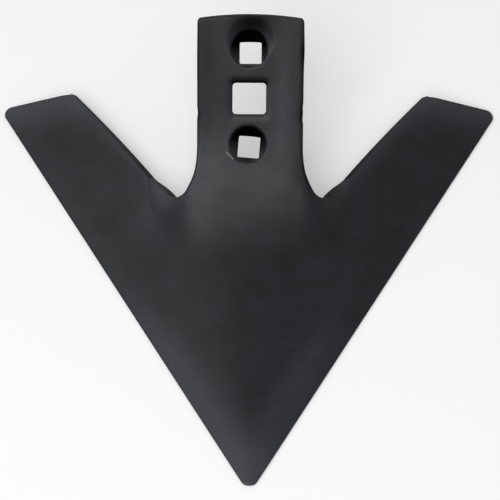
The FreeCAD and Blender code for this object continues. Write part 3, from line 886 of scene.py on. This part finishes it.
def formingTree(material):
    # bends the blank square to its underside, grinds it level and sets it on its place
    tree = bpy.data.node_groups.new("hot forming", "GeometryNodeTree")
    tree.interface.new_socket("Blank", in_out="INPUT", socket_type="NodeSocketGeometry")
    addInputs(tree, {**formInputs, **placeInputs})
    tree.interface.new_socket("Sweep", in_out="OUTPUT", socket_type="NodeSocketGeometry")
    given = addNode(tree, "NodeGroupInput").outputs
    step = given["Step"]
    shape = {name: given[name] for name in formInputs}
    height = heightGroup()
    position = addNode(tree, "GeometryNodeInputPosition").outputs[0]
    x, y, depth = addNode(tree, "ShaderNodeSeparateXYZ", inputs={0: position}).outputs
    aside = addNode(tree, "ShaderNodeMath", {"operation": "ADD"}, {0: x, 1: step}).outputs[0]
    further = addNode(tree, "ShaderNodeMath", {"operation": "ADD"}, {0: y, 1: step}).outputs[0]
    heights = []
    for across, back in ((x, y), (aside, y), (x, further)):
        heights.append(addNode(tree, "GeometryNodeGroup", {"node_tree": height},
                               {**shape, "Across": across, "Back": back}).outputs[0])
    slopes = []
    here = heights[0]
    for other in heights[1:]:
        fall = addNode(tree, "ShaderNodeMath", {"operation": "SUBTRACT"}, {0: here, 1: other}).outputs[0]
        slopes.append(addNode(tree, "ShaderNodeMath", {"operation": "DIVIDE"}, {0: fall, 1: step}).outputs[0])
    lean = addNode(tree, "ShaderNodeCombineXYZ", inputs={0: slopes[0], 1: slopes[1], 2: 1.0}).outputs[0]
    normal = addNode(tree, "ShaderNodeVectorMath", {"operation": "NORMALIZE"}, {0: lean}).outputs[0]
    through = addNode(tree, "ShaderNodeVectorMath", {"operation": "SCALE"},
                      {0: normal, "Scale": depth}).outputs[0]
    under = addNode(tree, "ShaderNodeCombineXYZ", inputs={0: x, 1: y, 2: here}).outputs[0]
    formed = addNode(tree, "ShaderNodeVectorMath", {"operation": "ADD"}, {0: under, 1: through}).outputs[0]
    formedX, formedY, formedZ = addNode(tree, "ShaderNodeSeparateXYZ", inputs={0: formed}).outputs
    level = addNode(tree, "ShaderNodeMath", {"operation": "MAXIMUM"},
                    {0: formedZ, 1: given["Grind height"]}).outputs[0]
    lowered = addNode(tree, "ShaderNodeMath", {"operation": "SUBTRACT"},
                      {0: level, 1: given["Grind height"]}).outputs[0]
    centred = addNode(tree, "ShaderNodeMath", {"operation": "SUBTRACT"},
                      {0: formedY, 1: given["Nose to middle"]}).outputs[0]
    place = addNode(tree, "ShaderNodeCombineXYZ", inputs={0: formedX, 1: centred, 2: lowered}).outputs[0]
    metres = addNode(tree, "ShaderNodeVectorMath", {"operation": "SCALE"},
                     {0: place, "Scale": given["Unit"]}).outputs[0]
    put = addNode(tree, "GeometryNodeSetPosition",
                  inputs={"Geometry": given["Blank"], "Position": metres}).outputs[0]
    smooth = addNode(tree, "GeometryNodeSetShadeSmooth", inputs={0: put}).outputs[0]
    real = addNode(tree, "GeometryNodeRealizeInstances", inputs={0: smooth}).outputs[0]
    painted = addNode(tree, "GeometryNodeSetMaterial",
                      inputs={"Geometry": real, "Material": material}).outputs[0]
    addNode(tree, "NodeGroupOutput", inputs={"Sweep": painted})
    return tree


# Black lacquer baked on hot-formed spring steel: near black, half gloss, a little cloudy, with painted
# highlights that are partly dust at its rims and on the bend, and painted shade in its hollows
lacquer = {
    "black": "#0f1013",
    "cloud": "#1e2027",
    # colour of the painted highlights, partly dust
    "rubbedAndHighlit": "#3c3e44",
    "cutWall": "#0b0b0c",
    # colour of the painted shade
    "paintedShade": "#040404",
    "bare": "#b9babd",
    "roughness": 0.42,
    "roughnessSpread": 0.06,
    "cutRoughness": 0.75,
    "ior": 1.42,
    "noises": {             # size in mm, detail
        "smear": (18.0, 5.0),
        "cloud": (28.0, 3.0),
        "wave": (14.0, 2.0),
        "grain": (1.1, 4.0),    # scale left by the furnace, drawn about as coarse as it shows
    },
    "noiseRoughness": 0.6,
    "noiseSpan": (0.3, 0.7),        # the part of a noise that is drawn from nothing to full
    "grainSpan": (0.25, 0.75),
    "grainShare": (0.55, 1.45),     # of the cloud's and the dust's strength, at either end of that span
    "grainHeight": 0.02,    # mm
    "waveHeight": 0.05,     # mm
}


def markShare(tree, plan, mark):
    # how much of a straight mark lies at a place of the plan
    start, end = Vector(mark["start"]), Vector(mark["end"])
    along = end - start
    away = addNode(tree, "ShaderNodeVectorMath", {"operation": "SUBTRACT"}, {0: plan, 1: start}).outputs[0]
    reach = addNode(tree, "ShaderNodeVectorMath", {"operation": "DOT_PRODUCT"},
                    {0: away, 1: along / along.length_squared}).outputs["Value"]
    held = addNode(tree, "ShaderNodeClamp", inputs={0: reach}).outputs[0]
    nearest = addNode(tree, "ShaderNodeVectorMath", {"operation": "SCALE"},
                      {0: along, "Scale": held}).outputs[0]
    gap = addNode(tree, "ShaderNodeVectorMath", {"operation": "DISTANCE"},
                  {0: away, 1: nearest}).outputs["Value"]
    return addNode(tree, "ShaderNodeMapRange",
                   inputs={0: gap, 1: 0.0, 2: mark["width"], 3: mark["share"], 4: 0.0}).outputs[0]


def makeLacquer():
    material = bpy.data.materials.new("black-lacquered hot-formed spring steel")
    material.use_nodes = True
    tree = material.node_tree
    shader = tree.nodes["Principled BSDF"]
    shader.inputs["IOR"].default_value = lacquer["ior"]
    place = addNode(tree, "ShaderNodeTexCoord").outputs["Object"]
    perMetre = 1000.0
    noises = {}
    for name, (size, detail) in lacquer["noises"].items():
        noises[name] = addNode(tree, "ShaderNodeTexNoise", inputs={
            "Vector": place, "Scale": perMetre / size, "Detail": detail,
            "Roughness": lacquer["noiseRoughness"]}).outputs["Fac"]
    given = {}
    # the painted highlights, the cut walls, the painted shade and the plan places, as stored on the blank
    for name, output in (("rubAndHighlight", "Fac"), ("cut", "Fac"), ("paintedShade", "Fac"), ("plan", "Vector")):
        given[name] = addNode(tree, "ShaderNodeAttribute", {"attribute_name": name}).outputs[output]
    low, high = lacquer["noiseSpan"]
    grainLow, grainHigh = lacquer["grainSpan"]
    least, most = lacquer["grainShare"]
    smeared = addNode(tree, "ShaderNodeMapRange", inputs={0: noises["smear"], 1: low, 2: high}).outputs[0]
    grainy = addNode(tree, "ShaderNodeMapRange",
                     inputs={0: noises["grain"], 1: grainLow, 2: grainHigh, 3: least, 4: most}).outputs[0]
    mottled = addNode(tree, "ShaderNodeMath", {"operation": "MULTIPLY"}, {0: smeared, 1: grainy}).outputs[0]
    # painted highlight, partly dust, made grainy
    dustAndHighlight = addNode(tree, "ShaderNodeMath", {"operation": "MULTIPLY"},
                    {0: given["rubAndHighlight"], 1: grainy}).outputs[0]
    # painted highlights and painted shade are mixed into the colour with the cloud, the cut walls and the
    # scratches
    coats = [(mottled, "cloud"), (dustAndHighlight, "rubbedAndHighlit"), (given["cut"], "cutWall"), (given["paintedShade"], "paintedShade")]
    coats += [(markShare(tree, given["plan"], mark), "bare") for mark in wearAndHighlights["marks"]]
    colour = toLinear(lacquer["black"])
    for share, coat in coats:
        colour = addNode(tree, "ShaderNodeMix", {"data_type": "RGBA"},
                         {0: share, 6: colour, 7: toLinear(lacquer[coat])}).outputs[2]
    tree.links.new(colour, shader.inputs["Base Color"])
    # painted shade: as a metal of its own near-black colour it mirrors nothing, so those places stay dark as
    # if shaded
    tree.links.new(given["paintedShade"], shader.inputs["Metallic"])
    glossy = lacquer["roughness"] - lacquer["roughnessSpread"]
    dull = lacquer["roughness"] + lacquer["roughnessSpread"]
    gloss = addNode(tree, "ShaderNodeMapRange",
                    inputs={0: noises["cloud"], 1: low, 2: high, 3: glossy, 4: dull}).outputs[0]
    rough = addNode(tree, "ShaderNodeMix", {"data_type": "FLOAT"},
                    {0: given["cut"], 2: gloss, 3: lacquer["cutRoughness"]}).outputs[0]
    tree.links.new(rough, shader.inputs["Roughness"])
    grainBump = addNode(tree, "ShaderNodeBump", inputs={
        "Height": noises["grain"], "Distance": lacquer["grainHeight"] / perMetre}).outputs[0]
    waveBump = addNode(tree, "ShaderNodeBump", inputs={
        "Height": noises["wave"], "Distance": lacquer["waveHeight"] / perMetre,
        "Normal": grainBump}).outputs[0]
    tree.links.new(waveBump, shader.inputs["Normal"])
    print("lacquer mixed")
    return material


def makeSweep():
    piece = makeBlank()
    modifier = piece.modifiers.new("hot forming", "NODES")
    modifier.node_group = formingTree(makeLacquer())
    sizes = {**formInputs, **placeInputs}
    for item in modifier.node_group.interface.items_tree:
        if item.in_out == "INPUT" and item.name in sizes:
            modifier[item.identifier] = sizes[item.name]
    formed = bpy.data.meshes.new_from_object(piece.evaluated_get(bpy.context.evaluated_depsgraph_get()))
    piece.modifiers.remove(modifier)
    piece.data = formed
    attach(piece, "root")
    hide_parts("sweep")
    print("sweep formed:", len(formed.polygons), "faces")


makeSweep()
